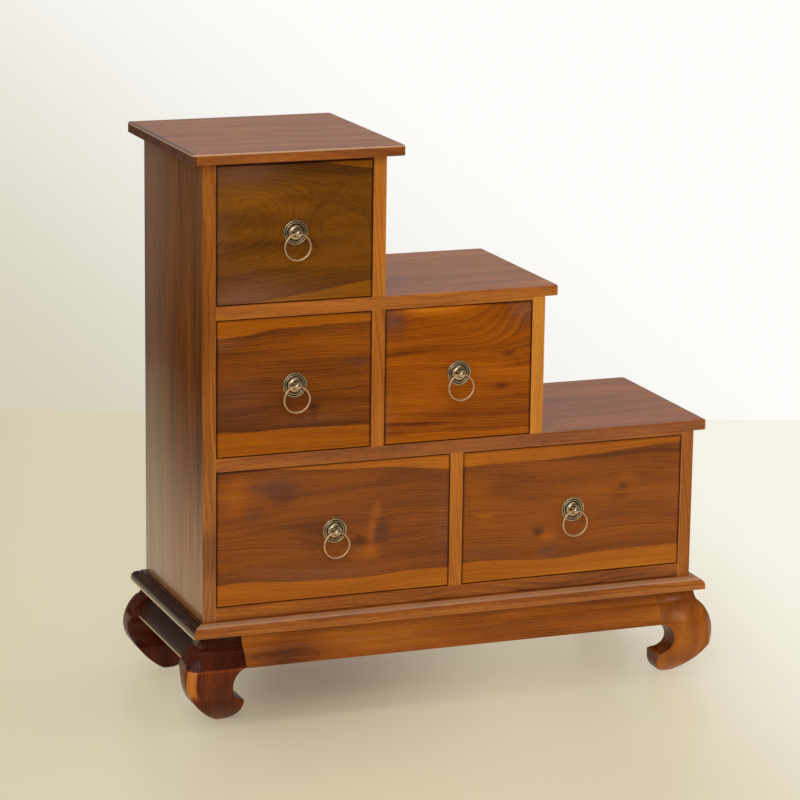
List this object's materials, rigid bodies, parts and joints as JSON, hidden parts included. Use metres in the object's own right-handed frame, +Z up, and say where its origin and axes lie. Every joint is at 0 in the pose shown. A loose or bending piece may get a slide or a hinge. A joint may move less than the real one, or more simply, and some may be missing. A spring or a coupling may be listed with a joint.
{
  "type": "step chest of drawers",
  "caption": "Stepped wooden chest of drawers, rising from right to left like a stair, with ring pulls, a moulded base and scrolled legs. The drawers slide out and the rings swing.",
  "frame": {"origin": "on the floor, under the middle of the case", "axes": "+X to the chest's right seen from the front, toward its low end, +Y to its back, +Z up"},
  "size_m": [0.758, 0.314, 0.7565],
  "materials": {
    "case_wood": "semi-gloss varnish over reddish brown teak",
    "front_wood": "semi-gloss varnish over figured reddish brown teak with golden sapwood bands",
    "leg_wood": "semi-gloss varnish over darker reddish brown wood",
    "inner_wood": "plain unvarnished wood",
    "antique_brass": "antique brass, brushed high spots over dark hollows",
    "steel": "plain zinc plated"
  },
  "bodies": {
    "carcass": {"left_side_panel": "case_wood", "tower_side_panel": "case_wood", "middle_side_panel": "case_wood", "right_side_panel": "case_wood", "middle_divider": "case_wood", "lower_divider": "case_wood", "top_board": "case_wood", "middle_step_board": "case_wood", "lower_step_board": "case_wood", "bottom_board": "case_wood", "tower_back_panel": "inner_wood", "middle_back_panel": "inner_wood", "lower_back_panel": "inner_wood", "drawer_stops": "inner_wood", "base_board": "case_wood", "front_apron": "case_wood", "back_apron": "case_wood", "left_apron": "case_wood", "right_apron": "case_wood", "front_left_leg": "leg_wood", "front_right_leg": "leg_wood", "back_left_leg": "leg_wood", "back_right_leg": "leg_wood", "glue_blocks": "inner_wood", "base_screws": "steel"},
    "tower_drawer": {"tower_drawer_front": "front_wood", "tower_drawer_sides": "inner_wood", "tower_drawer_rear": "inner_wood", "tower_drawer_floor": "inner_wood", "tower_drawer_pull_plate": "antique_brass", "tower_drawer_pull_post": "antique_brass"},
    "tower_drawer_ring": {"tower_drawer_pull_ring": "antique_brass"},
    "middle_left_drawer": {"middle_left_drawer_front": "front_wood", "middle_left_drawer_sides": "inner_wood", "middle_left_drawer_rear": "inner_wood", "middle_left_drawer_floor": "inner_wood", "middle_left_drawer_pull_plate": "antique_brass", "middle_left_drawer_pull_post": "antique_brass"},
    "middle_left_drawer_ring": {"middle_left_drawer_pull_ring": "antique_brass"},
    "middle_right_drawer": {"middle_right_drawer_front": "front_wood", "middle_right_drawer_sides": "inner_wood", "middle_right_drawer_rear": "inner_wood", "middle_right_drawer_floor": "inner_wood", "middle_right_drawer_pull_plate": "antique_brass", "middle_right_drawer_pull_post": "antique_brass"},
    "middle_right_drawer_ring": {"middle_right_drawer_pull_ring": "antique_brass"},
    "lower_left_drawer": {"lower_left_drawer_front": "front_wood", "lower_left_drawer_sides": "inner_wood", "lower_left_drawer_rear": "inner_wood", "lower_left_drawer_floor": "inner_wood", "lower_left_drawer_pull_plate": "antique_brass", "lower_left_drawer_pull_post": "antique_brass"},
    "lower_left_drawer_ring": {"lower_left_drawer_pull_ring": "antique_brass"},
    "lower_right_drawer": {"lower_right_drawer_front": "front_wood", "lower_right_drawer_sides": "inner_wood", "lower_right_drawer_rear": "inner_wood", "lower_right_drawer_floor": "inner_wood", "lower_right_drawer_pull_plate": "antique_brass", "lower_right_drawer_pull_post": "antique_brass"},
    "lower_right_drawer_ring": {"lower_right_drawer_pull_ring": "antique_brass"}
  },
  "joints": [
    {"name": "tower_drawer_slide", "type": "slide", "parent": "carcass", "child": "tower_drawer", "axis": [0, -1, 0], "range_m": [0, 0.2]},
    {"name": "tower_drawer_ring_hinge", "type": "hinge", "parent": "tower_drawer", "child": "tower_drawer_ring", "pos_m": [-0.2255, -0.1382, 0.64725], "axis": [-1, 0, 0], "range_deg": [-10, 170]},
    {"name": "middle_left_drawer_slide", "type": "slide", "parent": "carcass", "child": "middle_left_drawer", "axis": [0, -1, 0], "range_m": [0, 0.2]},
    {"name": "middle_left_drawer_ring_hinge", "type": "hinge", "parent": "middle_left_drawer", "child": "middle_left_drawer_ring", "pos_m": [-0.2255, -0.1382, 0.44675], "axis": [-1, 0, 0], "range_deg": [-10, 170]},
    {"name": "middle_right_drawer_slide", "type": "slide", "parent": "carcass", "child": "middle_right_drawer", "axis": [0, -1, 0], "range_m": [0, 0.2]},
    {"name": "middle_right_drawer_ring_hinge", "type": "hinge", "parent": "middle_right_drawer", "child": "middle_right_drawer_ring", "pos_m": [0.00325, -0.1382, 0.44675], "axis": [-1, 0, 0], "range_deg": [-10, 170]},
    {"name": "lower_left_drawer_slide", "type": "slide", "parent": "carcass", "child": "lower_left_drawer", "axis": [0, -1, 0], "range_m": [0, 0.2]},
    {"name": "lower_left_drawer_ring_hinge", "type": "hinge", "parent": "lower_left_drawer", "child": "lower_left_drawer_ring", "pos_m": [-0.169, -0.1382, 0.24625], "axis": [-1, 0, 0], "range_deg": [-10, 170]},
    {"name": "lower_right_drawer_slide", "type": "slide", "parent": "carcass", "child": "lower_right_drawer", "axis": [0, -1, 0], "range_m": [0, 0.2]},
    {"name": "lower_right_drawer_ring_hinge", "type": "hinge", "parent": "lower_right_drawer", "child": "lower_right_drawer_ring", "pos_m": [0.172, -0.1382, 0.24625], "axis": [-1, 0, 0], "range_deg": [-10, 170]}
  ]
}
